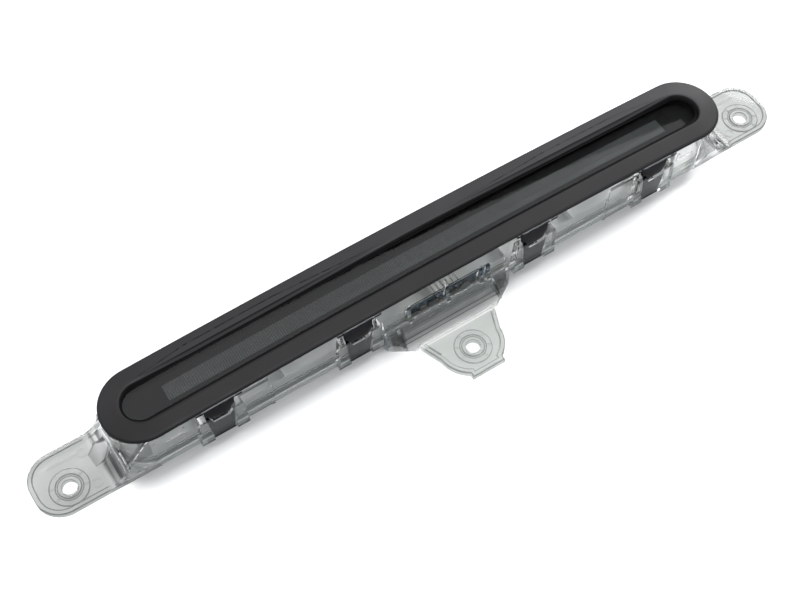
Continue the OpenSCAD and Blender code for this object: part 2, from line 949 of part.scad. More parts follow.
module vent_cap() {
    color("#1e1f21") at_lamp()
        translate([vent_x, half_w, vent_z])
        rotate([-90, 0, 0])
        difference() {
            union() {
                cylinder(d = 8, h = 2.2);
                cylinder(d = 6.6, h = 2.8);
            }
            translate([0, 0, -1]) cylinder(d = 5, h = 2.4);
            for (a = [0, 90])
                rotate([0, 0, a]) translate([-6, -0.5, 0.7]) cube([12, 1, 0.7]);
        }
}

module vent_membrane() {
    color("#e9e9e6") at_lamp()
        translate([vent_x, half_w, vent_z])
        rotate([-90, 0, 0])
        cylinder(d = 4.8, h = 0.5);
}

bezel();
bezel_seal();
outer_lens();
lens_bead();
housing();
inner_optic();
optic_frame();
reflector();
led_board();
leds();
led_resistors();
led_board_screws();
driver_board();
driver_chip();
driver_inductor();
driver_capacitors();
driver_diodes();
driver_resistors();
board_link_pins();
connector_shell();
connector_pins();
connector_seal();
rear_cover();
rear_seal();
rear_cover_screws();
vent_cap();
vent_membrane();
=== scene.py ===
import json
import math

import bmesh
import bpy
from mathutils import Matrix, Vector


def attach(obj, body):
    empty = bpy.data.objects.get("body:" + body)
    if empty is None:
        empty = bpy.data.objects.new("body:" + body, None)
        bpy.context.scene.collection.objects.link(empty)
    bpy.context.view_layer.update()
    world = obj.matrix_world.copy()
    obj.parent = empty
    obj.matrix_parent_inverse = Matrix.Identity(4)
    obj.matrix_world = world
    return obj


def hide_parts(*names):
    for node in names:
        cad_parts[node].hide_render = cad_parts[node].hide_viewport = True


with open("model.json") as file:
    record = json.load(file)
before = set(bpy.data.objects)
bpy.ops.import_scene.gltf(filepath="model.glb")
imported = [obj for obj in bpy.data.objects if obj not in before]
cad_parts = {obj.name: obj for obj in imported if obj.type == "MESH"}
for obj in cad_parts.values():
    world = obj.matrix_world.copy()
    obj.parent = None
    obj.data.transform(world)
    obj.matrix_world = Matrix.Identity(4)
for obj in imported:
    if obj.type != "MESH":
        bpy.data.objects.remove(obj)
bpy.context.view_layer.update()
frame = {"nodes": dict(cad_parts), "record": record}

MM = 0.001
NODES = frame["nodes"]
SCENE = bpy.context.scene

# Sizes in millimetres, as in the CAD. The lamp's centre line lies at LAMP_Y.
LAMP_Y = 4.3
BEZEL_L, BEZEL_W, BEZEL_TOP, BEZEL_T = 324.4, 36.2, 31.9, 1.8
ARCH_DROP = 3.6
ARCH_R = ((BEZEL_L / 2) ** 2 + ARCH_DROP**2) / (2 * ARCH_DROP)
CROWN = 0.3
WINDOW_L, WINDOW_W, LIP_DROP = 305.2, 19.0, 2.7
BEVEL_W, BEVEL_DROP = 3.3, 2.4
LENS_DEPTH = 2.8
OPTIC_L, RIB_COUNT = 265, 236
RIB_PITCH = OPTIC_L / RIB_COUNT
# Half width of the housing's body, without the clips
HALF_W = 14.9
CLIP_XS = (-116.4, -47.3, 47.3, 116.4)
TONGUE_FOOT_HALF, TONGUE_HEAD_HALF, TONGUE_FOOT_Z = 5.2, 7.8, 0.9
TONGUE_IN, TONGUE_OUT, HOOK_OUT, HOOK_HALF = HALF_W + 0.4, HALF_W + 2.0, HALF_W + 2.85, 4.7
# The end blocks and their sweeps
END_HALF_W, END_START, END_STOP = 15.2, 148.5, 171.2
TAB_START, FOOT_Z, CLIP_TOP = 164, -3, 19
FLOOR_Z = -8.6
# Points along a long side and round an end of an outline
N_SIDE, N_END = 150, 40
# Keys of a mask: the axes, and how level the surface lies
X, Y, Z, LEVEL = 0, 1, 2, 3


# ---------- node materials ----------


def grey(v, green=0.0):
    return (v, v * (1 + green), v)


class Shader:
    """A Principled material whose colour, roughness and bump come from procedural nodes."""

    def __init__(self, name, rough, **sockets):
        self.mat = bpy.data.materials.new(name)
        self.mat.use_nodes = True
        self.nt = self.mat.node_tree
        self.bsdf = self.nt.nodes["Principled BSDF"]
        self.bsdf.inputs["Roughness"].default_value = rough
        for key, value in sockets.items():
            self.bsdf.inputs[key.replace("_", " ")].default_value = value
        self.coords = self.nt.nodes.new("ShaderNodeTexCoord").outputs["Object"]

    def link(self, a, b):
        self.nt.links.new(a, b)

    def noise(self, scale, detail, stretch=(1, 1, 1)):
        src = self.coords
        if stretch != (1, 1, 1):
            m = self.nt.nodes.new("ShaderNodeMapping")
            m.inputs["Scale"].default_value = stretch
            self.link(src, m.inputs["Vector"])
            src = m.outputs["Vector"]
        n = self.nt.nodes.new("ShaderNodeTexNoise")
        n.inputs["Scale"].default_value = scale
        n.inputs["Detail"].default_value = detail
        n.inputs["Roughness"].default_value = 0.55
        self.link(src, n.inputs["Vector"])
        return n.outputs["Fac"]

    def ramp(self, fac, stops):
        r = self.nt.nodes.new("ShaderNodeValToRGB")
        r.color_ramp.elements[0].position = stops[0][0]
        r.color_ramp.elements[0].color = (*stops[0][1], 1)
        r.color_ramp.elements[1].position = stops[-1][0]
        r.color_ramp.elements[1].color = (*stops[-1][1], 1)
        for pos, col in stops[1:-1]:
            r.color_ramp.elements.new(pos).color = (*col, 1)
        self.link(fac, r.inputs["Fac"])
        return r.outputs["Color"]

    def span(self, fac, lo, hi):
        """Noise spread over the range from lo to hi."""
        m = self.nt.nodes.new("ShaderNodeMapRange")
        m.inputs["From Min"].default_value = 0.3
        m.inputs["From Max"].default_value = 0.7
        m.inputs["To Min"].default_value = lo
        m.inputs["To Max"].default_value = hi
        self.link(fac, m.inputs["Value"])
        return m.outputs["Result"]

    def colour(self, fac, a, b):
        self.link(self.ramp(fac, [(0.3, a), (0.7, b)]), self.bsdf.inputs["Base Color"])

    def rough(self, fac, lo, hi):
        self.link(self.span(fac, lo, hi), self.bsdf.inputs["Roughness"])

    def axis(self, index, lo, hi, clamp=True):
        """A coordinate, mapped from lo..hi in millimetres to 0..1."""
        sep = self.nt.nodes.new("ShaderNodeSeparateXYZ")
        self.link(self.coords, sep.inputs["Vector"])
        m = self.nt.nodes.new("ShaderNodeMapRange")
        m.inputs["From Min"].default_value = lo * MM
        m.inputs["From Max"].default_value = hi * MM
        m.clamp = clamp
        self.link(sep.outputs[index], m.inputs["Value"])
        return m.outputs["Result"]

    def placed(self, tint, index, stops):
        """The tint multiplied by colours set at positions in millimetres along one axis."""
        if not stops:
            return tint
        return self.times(tint, self.mask(index, stops))

    def mask(self, index, stops):
        """Colours set at positions in millimetres along one axis."""
        lo, hi = stops[0][0], stops[-1][0]
        return self.ramp(self.axis(index, lo, hi), [((p - lo) / (hi - lo), c) for p, c in stops])

    def outline(self, depth, zones, levels):
        """Painted shade: dark lines painted where the surface turns over an edge. Zones are (axis, stops)
        masks of where they show, and levels are the heights in millimetres at which an edge may turn."""
        turn = self.ramp(self.level(), [(0.0, grey(1)), (0.93, grey(1)), (0.985, grey(0))])
        shown = None
        for index, stops in zones:
            zone = self.placed(turn, index, stops)
            shown = self.lightest(shown, zone) if shown else zone
        shown = self.placed(shown, Z, levels)
        return self.ramp(shown, [(0.0, grey(1)), (1.0, grey(depth))])

    def boxed(self, tint, boxes):
        """Painted shade: the tint darkened inside boxes. Each is a depth and the masks that bound it."""
        for depth, masks in boxes:
            shade = self.ramp(self.inside(masks), [(0.0, grey(1)), (1.0, grey(depth))])
            tint = self.times(tint, shade)
        return tint

    def inside(self, masks):
        """The product of masks along axes, in millimetres, and of one by how level the surface lies."""
        found = None
        for index, stops in masks.items():
            if index == LEVEL:
                part = self.ramp(self.level(), stops)
            else:
                part = self.mask(index, stops)
            found = self.times(found, part) if found else part
        return found

    def lightest(self, a, b):
        return self.blend("LIGHTEN", a, b)

    def level(self):
        """How level the surface lies: 1 on a flat, 0 on an upright wall."""
        geo = self.nt.nodes.new("ShaderNodeNewGeometry")
        sep = self.nt.nodes.new("ShaderNodeSeparateXYZ")
        self.link(geo.outputs["Normal"], sep.inputs["Vector"])
        flat = self.nt.nodes.new("ShaderNodeMath")
        flat.operation = "ABSOLUTE"
        self.link(sep.outputs[2], flat.inputs[0])
        return flat.outputs["Value"]

    def painted_groove_shade(self, pitch, low):
        """Painted shade in the grooves of the cross ribs along the lamp: 1 on a rib's top, down to low in
        the grooves.
        """
        sine = self.nt.nodes.new("ShaderNodeMath")
        sine.operation = "SINE"
        self.link(self.axis(X, 0, pitch / (2 * math.pi), clamp=False), sine.inputs[0])
        half = self.nt.nodes.new("ShaderNodeMath")
        half.operation = "MULTIPLY_ADD"
        half.inputs[1].default_value = 0.5
        half.inputs[2].default_value = 0.5
        self.link(sine.outputs["Value"], half.inputs[0])
        return self.ramp(half.outputs["Value"], [(0.0, grey(low)), (1.0, grey(1))])

    def times(self, a, b):
        return self.blend("MULTIPLY", a, b)

    def blend(self, kind, a, b):
        mix = self.nt.nodes.new("ShaderNodeMix")
        mix.data_type = "RGBA"
        mix.blend_type = kind
        mix.inputs["Factor"].default_value = 1.0
        self.link(a, mix.inputs["A"])
        self.link(b, mix.inputs["B"])
        return mix.outputs["Result"]

    def bump(self, fac, distance_mm):
        b = self.nt.nodes.new("ShaderNodeBump")
        b.inputs["Distance"].default_value = distance_mm * MM
        b.inputs["Strength"].default_value = 1.0
        self.link(fac, b.inputs["Height"])
        self.link(b.outputs["Normal"], self.bsdf.inputs["Normal"])


def moulded(name, dark, light, rough, grain=1600, depth=0.02, along=None, across=None, **sockets):
    """Moulded plastic or rubber: slight shade drift, fine grain and uneven gloss, and painted light and
    shade by place (along, across), which only the bezel is given.
    """
    s = Shader(name, rough, **sockets)
    shade = s.ramp(s.noise(22, 4), [(0.3, dark), (0.7, light)])
    s.link(s.placed(s.placed(shade, X, along), Y, across), s.bsdf.inputs["Base Color"])
    s.rough(s.noise(60, 3), rough - 0.05, rough + 0.05)
    s.bump(s.noise(grain, 2), depth)
    return s.mat


def metal(name, dark, light, rough):
    s = Shader(name, rough, Metallic=1.0)
    s.colour(s.noise(300, 3), dark, light)
    s.rough(s.noise(900, 2, stretch=(1, 1, 6)), rough - 0.08, rough + 0.1)
    s.bump(s.noise(2600, 2, stretch=(1, 1, 5)), 0.006)
    return s.mat


def clear(name, dark, light, rough, ior, transmission, depth, edge=None, along=None, across=None,
          lines=None, boxes=(), painted_highlights=(), rib_groove_shade=None, **sockets):
    """Clear moulded plastic: faint tint drift, a slightly wavy surface, and a deeper tint where it is seen
    edge on (edge);
    painted shade by place (along, across, boxes), at edges (lines) and in the grooves between ribs, and
    painted highlights where the tint is lifted to clear."""
    s = Shader(name, rough, IOR=ior, **sockets)
    s.bsdf.inputs["Transmission Weight"].default_value = transmission
    tint = s.ramp(s.noise(16, 3), [(0.3, dark), (0.7, light)])
    if edge:
        lw = s.nt.nodes.new("ShaderNodeLayerWeight")
        lw.inputs["Blend"].default_value = 0.5
        tint = s.times(tint, s.ramp(lw.outputs["Facing"], edge))
    tint = s.placed(s.placed(tint, X, along), Y, across)
    if lines:
        tint = s.times(tint, s.outline(*lines))
    tint = s.boxed(tint, boxes)
    # Painted highlights: the tint lifted to clear inside these boxes
    for masks in painted_highlights:
        tint = s.lightest(tint, s.inside(masks))
    # Painted shade in the grooves between ribs
    if rib_groove_shade:
        tint = s.times(tint, s.painted_groove_shade(*rib_groove_shade))
    s.link(tint, s.bsdf.inputs["Base Color"])
    s.bump(s.noise(90, 2), depth)
    return s.mat


def both_x(a, b, ease=0.2):
    """A mask that is 1 from a to b millimetres on both sides of the middle."""
    return [(-b - ease, grey(0)), (-b, grey(1)), (-a, grey(1)), (-a + ease, grey(0)),
            (a - ease, grey(0)), (a, grey(1)), (b, grey(1)), (b + ease, grey(0))]


def one(a, b, ease=0.1):
    """A mask that is 1 from a to b millimetres."""
    return [(a - ease, grey(0)), (a, grey(1)), (b, grey(1)), (b + ease, grey(0))]


UPRIGHT = [(0.0, grey(1)), (0.06, grey(1)), (0.1, grey(0)), (1.0, grey(0))]
# Stretches along the lamp: the end tabs, the clips, the end blocks' tops and sweeps, the recesses
TABS_X, CLIPS_X = both_x(170.9, 201), both_x(38, 126)
TOPS_X, SWEEPS_X = both_x(148, 161.6), both_x(161.7, 171)
RECESSES_X, BODY_X = both_x(162.4, 172.6), one(-171, 171)
RECESSES_Y, FOOT_Y = one(2.6, 13.6), one(-11.4, -10.75)
# Painted shade on the housing: darker places in channels, at edges and creases, and in recesses
HOUSING_PAINTED_SHADE_BOXES = [
    # Painted shade in the channels beside the lips and seats: end tabs, centre tab
    (0.16, {X: TABS_X, Z: one(-0.63, -0.54, 0.03)}),
    (0.2, {Y: one(-48, -22), Z: one(-5.63, -5.54, 0.03)}),
    # Painted shade on the tops and foot edges of the clips
    (0.2, {X: CLIPS_X, Y: one(-15.2, -10.9), Z: one(19.0, 21.5)}),
    (0.45, {X: CLIPS_X, Y: one(-14.8, -14.4), Z: one(0.4, 4.6)}),
    # Painted shade on the front edges of the end blocks, and in the crease above their sweeps
    (0.4, {X: TOPS_X, Y: one(-10.8, -8.8, 0.08), Z: one(8.5, 27)}),
    (0.45, {X: SWEEPS_X, Y: one(-10.8, -9.8, 0.08), Z: one(0.5, 8.5)}),
    (0.6, {X: both_x(158.9, 161.1, 0.3), Y: one(-10.4, 19.2), Z: one(8, 14)}),
    # Painted shade on the foot's edge, and a painted shadow over the right end's lower part
    (0.6, {X: BODY_X, Y: FOOT_Y, Z: one(-3.1, -0.6, 0.3)}),
    (0.45, {X: BODY_X, Y: FOOT_Y, Z: one(-3.1, -2.5, 0.1)}),
    (0.75, {X: one(143, 171, 1.0), Y: one(-11.4, 5.0), Z: one(-3.1, 9, 2.0)}),
    # Painted shade on the walls and floors of the end recesses
    (0.25, {X: RECESSES_X, Y: RECESSES_Y, Z: one(-1.7, 9), LEVEL: UPRIGHT}),
    (0.5, {X: RECESSES_X, Y: RECESSES_Y, Z: one(-1.85, -1.72, 0.04)}),
    # Painted shade in the apron's corners
    (0.5, {X: both_x(25, 31.5), Y: one(-19, -13.5, 1.0), Z: one(-2.5, 5)}),
]
# Painted highlights on the housing, where the tint is lifted to clear: the raised L on the near wall
# beside each end and the places behind it on the wall's inner face, and the raised upright strip where the
# straight wall stops
WALL = one(-11.5, -10.5)
WALL_INSIDE = one(-9.1, -8.4)
L_FLAT_X, L_STEM_X = both_x(132.5, 142), both_x(132.5, 133.7)
HOUSING_PAINTED_HIGHLIGHTS = [
    {X: L_FLAT_X, Y: WALL, Z: one(13.5, 14.7)},
    {X: L_FLAT_X, Y: WALL_INSIDE, Z: one(9, 11)},
    {X: L_STEM_X, Y: WALL, Z: one(13.5, 18.5)},
    {X: L_STEM_X, Y: WALL_INSIDE, Z: one(9, 15)},
    {X: both_x(146.6, 147.8), Y: one(-11.5, -8.4), Z: one(-2.9, 18)},
]
# Painted light and shade along and across the bezel: darker towards the left end and the near side,
# lighter right of the middle and on the far side
BEZEL_PAINTED_LIGHT_ALONG = [(-163, grey(0.62)), (-100, grey(0.72)), (-60, grey(0.82)), (-20, grey(0.88)),
               (60, grey(1.0)), (100, grey(0.88)), (163, grey(0.84))]
BEZEL_PAINTED_LIGHT_ACROSS = [(-15, grey(0.64)), (-6, grey(0.68)), (5, grey(1.0)), (14, grey(1.22)), (23, grey(1.25))]
# Painted shade: a deeper tint on the end tabs, and on the centre tab and the apron above it, with the
# crease between them left clear
HOUSING_PAINTED_SHADE_ALONG = [(-200, grey(0.42, 0.015)), (-170, grey(0.42, 0.015)), (-162, grey(1)), (162, grey(1)),
                 (170, grey(0.41, 0.015)), (200, grey(0.41, 0.015))]
HOUSING_PAINTED_SHADE_ACROSS = [(-47, grey(0.53, 0.02)), (-21.7, grey(0.53, 0.02)), (-21.5, grey(1)), (-20.9, grey(1)),
                  (-20.7, grey(0.5)), (-16, grey(0.48)), (-14.6, grey(1)), (30, grey(1))]
# The housing's tint from seen face on to seen edge on
HOUSING_EDGE = [(0.0, (1, 1, 1)), (0.6, (0.97, 0.97, 0.97)), (0.78, (0.7, 0.72, 0.71)),
                (0.95, (0.14, 0.15, 0.15))]
# Painted shade in dark lines along the edges of the tabs and of the foot: how dark, where, and at which
# heights
EDGE_PAINTED_SHADE_DEPTH = 0.12
EDGE_PAINTED_SHADE_ZONES = [
    (X, [(-202, grey(1)), (-162.4, grey(1)), (-161.8, grey(0)), (161.8, grey(0)), (162.4, grey(1)),
         (202, grey(1))]),
    (Y, [(-48, grey(1)), (-21.8, grey(1)), (-21.2, grey(0)), (31, grey(0))]),
    (Z, [(-8.6, grey(0)), (-3.1, grey(0)), (-3.05, grey(1)), (-2.76, grey(1)), (-2.7, grey(0)),
         (32, grey(0))]),
]
EDGE_PAINTED_SHADE_LEVELS = [(-8.2, grey(1)), (-7.75, grey(1)), (-7.7, grey(0)), (-5.65, grey(0)), (-5.6, grey(1)),
                  (-2.75, grey(1)), (-2.7, grey(0)), (-0.65, grey(0)), (-0.6, grey(1)), (0.5, grey(1)),
                  (0.8, grey(0.5)), (9.4, grey(0.45)), (9.8, grey(0)), (32, grey(0))]

MATS = {
    # The bezel gets painted light and shade along and across it
    "bezel_plastic": moulded("bezel_charcoal", (0.024, 0.0235, 0.0248), (0.030, 0.0293, 0.031), 0.5,
                             grain=2600, depth=0.012, along=BEZEL_PAINTED_LIGHT_ALONG, across=BEZEL_PAINTED_LIGHT_ACROSS,
                             Specular_IOR_Level=0.15),
    "seal_rubber": moulded("seal_black", (0.010, 0.010, 0.011), (0.016, 0.016, 0.017), 0.7),
    "cover_seal": moulded("seal_grey", (0.55, 0.56, 0.55), (0.62, 0.63, 0.62), 0.6),
    "sealant": moulded("sealant_black", (0.0035, 0.0035, 0.0036), (0.006, 0.006, 0.0062), 0.6,
                       Specular_IOR_Level=0.04),
    "clear_housing": clear("housing_clear", (0.885, 0.895, 0.89), (0.925, 0.935, 0.93), 0.03, 1.2, 1.0,
                           0.01, edge=HOUSING_EDGE, along=HOUSING_PAINTED_SHADE_ALONG, across=HOUSING_PAINTED_SHADE_ACROSS,
                           lines=(EDGE_PAINTED_SHADE_DEPTH, EDGE_PAINTED_SHADE_ZONES, EDGE_PAINTED_SHADE_LEVELS),
                           boxes=HOUSING_PAINTED_SHADE_BOXES, painted_highlights=HOUSING_PAINTED_HIGHLIGHTS, Specular_IOR_Level=0.35),
    # The optic's grooves between its ribs get painted shade
    "frosted_optic": clear("optic_frosted", (0.52, 0.54, 0.535), (0.62, 0.64, 0.635), 0.3, 1.45, 0.2,
                           0.01, rib_groove_shade=(RIB_PITCH, 0.3)),
    "frame_plastic": moulded("frame_black", (0.007, 0.007, 0.0075), (0.011, 0.011, 0.0115), 0.55,
                             Specular_IOR_Level=0.2),
    "reflector_plastic": moulded("reflector_white", (0.62, 0.63, 0.62), (0.7, 0.7, 0.69), 0.25,
                                 depth=0.005),
    "led_board_resin": moulded("mask_white", (0.5, 0.51, 0.49), (0.58, 0.585, 0.565), 0.35,
                               grain=3000, depth=0.01),
    "led_package": moulded("led_pale", (0.62, 0.58, 0.44), (0.72, 0.69, 0.56), 0.3, depth=0.004),
    "resistor_body": moulded("resistor_black", (0.02, 0.02, 0.021), (0.04, 0.04, 0.041), 0.3,
                             depth=0.005),
    "screw_steel": metal("screw_zinc", (0.48, 0.48, 0.47), (0.66, 0.66, 0.64), 0.32),
    "driver_board_resin": moulded("mask_blue", (0.012, 0.035, 0.06), (0.02, 0.05, 0.085), 0.3,
                                  grain=3000, depth=0.01),
    "chip_resin": moulded("chip_black", (0.014, 0.014, 0.015), (0.024, 0.024, 0.025), 0.5, grain=3500),
    "ferrite": moulded("ferrite_grey", (0.05, 0.05, 0.052), (0.085, 0.085, 0.088), 0.6,
                       grain=2500, depth=0.03),
    "capacitor_body": moulded("capacitor_brown", (0.085, 0.075, 0.066), (0.13, 0.115, 0.10), 0.35,
                              depth=0.006),
    "tinned_pins": metal("tin_plate", (0.60, 0.59, 0.56), (0.76, 0.75, 0.72), 0.28),
    "connector_plastic": moulded("connector_black", (0.014, 0.014, 0.015), (0.024, 0.024, 0.026), 0.45),
    "connector_silicone": moulded("silicone_grey", (0.05, 0.05, 0.052), (0.075, 0.075, 0.078), 0.6),
    "cover_plastic": moulded("cover_grey", (0.66, 0.67, 0.665), (0.72, 0.73, 0.725), 0.5,
                             grain=1800, depth=0.02),
    "vent_plastic": moulded("vent_black", (0.016, 0.016, 0.017), (0.026, 0.026, 0.028), 0.5),
    "membrane": moulded("membrane_white", (0.6, 0.6, 0.59), (0.72, 0.72, 0.71), 0.8,
                        grain=5000, depth=0.03),
    "smoked_lens": clear("lens_smoked", (0.10, 0.105, 0.105), (0.12, 0.125, 0.125), 0.02, 1.45, 1.0,
                         0.004, Specular_IOR_Level=0.3),
}

SLOTS = {part["node"]: part["material_slot"] for part in frame["record"]["subparts"]}
for node_name, obj in NODES.items():
    for i in range(len(obj.data.materials)):
        obj.data.materials[i] = MATS[SLOTS[node_name]]


# ---------- mesh helpers ----------


def arch_z(x, depth):
    """Height of the arch at x, at a depth below the bezel's top."""
    r = ARCH_R - depth
    return BEZEL_TOP - ARCH_R + math.sqrt(r * r - x * x)


def finish_mesh(name, bm, slot_name, replaced, sharp=35):
    """Turns a mesh in millimetres into a piece of the object, which may replace a node."""
    bmesh.ops.remove_doubles(bm, verts=bm.verts, dist=1e-4)
    bmesh.ops.recalc_face_normals(bm, faces=bm.faces)
    for f in bm.faces:
        f.smooth = True
    limit = math.radians(sharp)
    for e in bm.edges:
        e.smooth = len(e.link_faces) == 2 and e.calc_face_angle(0) < limit
    bm.transform(Matrix.Scale(MM, 4))
    mesh = bpy.data.meshes.new(name)
    bm.to_mesh(mesh)
    bm.free()
    obj = bpy.data.objects.new(name, mesh)
    SCENE.collection.objects.link(obj)
    mesh.materials.append(MATS[slot_name])
    flat = obj.modifiers.new("flat_faces", "WEIGHTED_NORMAL")
    flat.keep_sharp = True
    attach(obj, "root")
    if replaced:
        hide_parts(replaced)
    return obj


def stadium_loop(l, w):
    """Points round a stadium: near side, right end, far side, left end."""
    c, r = (l - w) / 2, w / 2
    runs = [2 * c * i / N_SIDE for i in range(N_SIDE)]
    turns = [math.pi * i / N_END for i in range(N_END)]
    pts = [(-c + run, -r) for run in runs]
    pts += [(c + r * math.sin(turn), -r * math.cos(turn)) for turn in turns]
    pts += [(c - run, r) for run in runs]
    pts += [(-c - r * math.sin(turn), r * math.cos(turn)) for turn in turns]
    return pts


def bridge(bm, loops, closed=True):
    """Quads between successive loops of the same length."""
    n = len(loops[0])
    for k in range(len(loops) if closed else len(loops) - 1):
        a, b = loops[k], loops[(k + 1) % len(loops)]
        for i in range(n):
            j = (i + 1) % n
            bm.faces.new((a[i], a[j], b[j], b[i]))


def round_off(bm, edges, radius, segments=2):
    bmesh.ops.bevel(bm, geom=edges, offset=radius, segments=segments, profile=0.5, affect="EDGES",
                    clamp_overlap=True)


def rounded_box(bm, corners_low, corners_high, radius, segments=2):
    """A six-sided block from two four-point outlines, with all its edges rounded."""
    t = bmesh.new()
    lo = [t.verts.new(p) for p in corners_low]
    hi = [t.verts.new(p) for p in corners_high]
    t.faces.new(lo[::-1])
    t.faces.new(hi)
    for i in range(4):
        j = (i + 1) % 4
        t.faces.new((lo[i], lo[j], hi[j], hi[i]))
    round_off(t, t.edges[:], radius, segments)
    mesh = bpy.data.meshes.new("tmp")
    t.to_mesh(mesh)
    t.free()
    bm.from_mesh(mesh)
    bpy.data.meshes.remove(mesh)


# ---------- bezel ----------


def bevel_share(x):
    """How far the bevel beside the window has opened, from 0 to 1."""
    opens, opened, closes, closed = 10, 72, 116, 146
    a = abs(x)
    share = (a - opens) / (opened - opens) if a < closes else (closed - a) / (closed - closes)
    return min(1.0, max(0.0, share))


# Sections of the ring, as growth from the outer or the window's outline and depth below the top
BEZEL_OUTER = [(-2.6, BEZEL_T), (-0.35, BEZEL_T), (0, BEZEL_T - 0.25), (0, 0.95), (-0.06, 0.68),
               (-0.22, 0.42), (-0.5, 0.2), (-0.85, 0.07), (-1.4, 0.0), (-7.4, 0.0)]
BEZEL_INNER = [(1.0, 0.0), (0.5, 0.0), (0.2, 0.08), (0.05, 0.25), (0.0, 0.55), (0.0, LIP_DROP - 0.2),
               (0.2, LIP_DROP), (2.0, LIP_DROP), (2.0, BEZEL_T)]
# The bevel moves what lies above the first depth out, and drops what lies between it and the third
BEVEL_EDGE, BEVEL_KNEE, BEVEL_FOOT = 0.2, 0.4, LIP_DROP - 0.3


def bevelled(x, y, depth):
    """A point of the window's edge, moved where the bevel opens: its top moves out and its foot drops."""
    share = bevel_share(x)
    if y > 0 and share > 0 and depth < BEVEL_FOOT:
        if depth < BEVEL_EDGE:
            return y + BEVEL_W * share, depth
        return y, max(depth, BEVEL_DROP * share * (0.86 if depth < BEVEL_KNEE else 1.0))
    return y, depth


def add_tongue(bm, cx, side):
    """A tongue that drops through a clip, with the hook at its foot."""
    y_1, y_2, y_3 = side * TONGUE_IN, side * TONGUE_OUT, side * HOOK_OUT

    def rectangle(half, near, far, z_near, z_far):
        return [(cx - half, near, z_near), (cx + half, near, z_near), (cx + half, far, z_far),
                (cx - half, far, z_far)]

    foot, top = TONGUE_FOOT_Z, arch_z(cx, BEZEL_T - 0.3)
    rounded_box(bm, rectangle(TONGUE_FOOT_HALF, y_1, y_2, foot, foot),
                rectangle(TONGUE_HEAD_HALF, y_1, y_2, top, top), 0.3)
    root = y_2 - side * 0.3
    rounded_box(bm, rectangle(HOOK_HALF, root, y_3, foot, foot + 0.3),
                rectangle(HOOK_HALF, root, y_3, foot + 1.4, foot + 0.9), 0.12, 1)


def build_bezel():
    bm = bmesh.new()
    loops = []
    for k, (grow, depth) in enumerate(BEZEL_OUTER):
        # The band falls slightly from the window to its outer edge
        depth += CROWN if 1 < k < len(BEZEL_OUTER) - 1 else 0.0
        pts = stadium_loop(BEZEL_L + 2 * grow, BEZEL_W + 2 * grow)
        loops.append([bm.verts.new((x, y, arch_z(x, depth))) for x, y in pts])
    for grow, depth in BEZEL_INNER:
        loop = []
        for x, y in stadium_loop(WINDOW_L + 2 * grow, WINDOW_W + 2 * grow):
            y, d = bevelled(x, y, depth)
            loop.append(bm.verts.new((x, y, arch_z(x, d))))
        loops.append(loop)
    bridge(bm, loops)
    for side in (-1, 1):
        for cx in CLIP_XS:
            add_tongue(bm, cx, side)
    bm.transform(Matrix.Translation((0, LAMP_Y, 0)))
    finish_mesh("bezel_ring", bm, "bezel_plastic", "bezel")


build_bezel()


def build_painted_lens_shade():
    """A black band laid round the lens as painted shade, for the dark line along the window's edge: wider
    on the near side, where the bezel's edge covers it.
    """
    bm = bmesh.new()
    near_extra = 1.3
    loops = []
    # Growth from the window's outline and height above the lens
    for grow, height in ((0.6, 0.07), (-1.05, 0.07), (-1.1, 0.02), (0.6, 0.02)):
        extra = near_extra if grow < 0 else 0.0
        pts = stadium_loop(WINDOW_L + 2 * grow, WINDOW_W + 2 * grow - extra)
        loops.append([bm.verts.new((x, y + extra / 2, arch_z(x, LENS_DEPTH - height))) for x, y in pts])
    bridge(bm, loops)
    bm.transform(Matrix.Translation((0, LAMP_Y, 0)))
    finish_mesh("lens_shade_painted", bm, "sealant", None)


build_painted_lens_shade()


# ---------- pieces that keep the CAD's shape, with their outer edges rounded ----------


SHARP_CAD = 30


def sharp_edges(bm):
    limit = math.radians(SHARP_CAD)
    return [e for e in bm.edges if len(e.link_faces) == 2 and e.calc_face_angle(0) > limit]


def soften(node, name, offset=0.22, shortest=0.5, where=None, shrink=0.0, wide=None):
    """A copy of a CAD node with its longer outer edges rounded off, some of them wider. A slight shrink
    parts two faces that touch."""
    bm = bmesh.new()
    bm.from_mesh(NODES[node].data)
    bm.transform(Matrix.Scale(1 / MM, 4))
    bmesh.ops.remove_doubles(bm, verts=bm.verts, dist=0.004)
    bmesh.ops.dissolve_limit(bm, angle_limit=math.radians(0.6), verts=bm.verts, edges=bm.edges)
    if wide:
        there, radius = wide
        broad = [e for e in sharp_edges(bm) if e.is_convex and all(there(v.co) for v in e.verts)]
        round_off(bm, broad, radius, 4)
    sharp = set(sharp_edges(bm))
    picked = {e for e in sharp if e.is_convex and e.calc_length() > shortest
              and (where is None or all(where(v.co) for v in e.verts))}
    # A corner is only rounded where all its sharp edges are long enough
    for _ in range(2):
        bad = {v for e in sharp - picked for v in e.verts}
        picked = {e for e in picked if not any(v in bad for v in e.verts)}
    round_off(bm, list(picked), offset)
    if shrink:
        bm.normal_update()
        for v, n in [(v, v.normal.copy()) for v in bm.verts]:
            v.co -= n * shrink
    return finish_mesh(name, bm, SLOTS[node], node, sharp=SHARP_CAD)


def housing_edge(co):
    """Edges of the tabs, the clips and the foot: the ones the eye and the hand meet."""
    foot_side, foot_end = 14.8, 150
    clip_near, clip_far, clip_start = 15.1, 19.2, 36
    centre_tab_start = -24.6
    x, y = abs(co.x), co.y - LAMP_Y
    tab = x > TAB_START and co.z < 0.3
    foot = abs(co.z - FOOT_Z) < 0.05 and (abs(y) > foot_side or x > foot_end)
    clip = clip_near < abs(y) < clip_far and x > clip_start and co.z < CLIP_TOP
    return tab or foot or clip or y < centre_tab_start


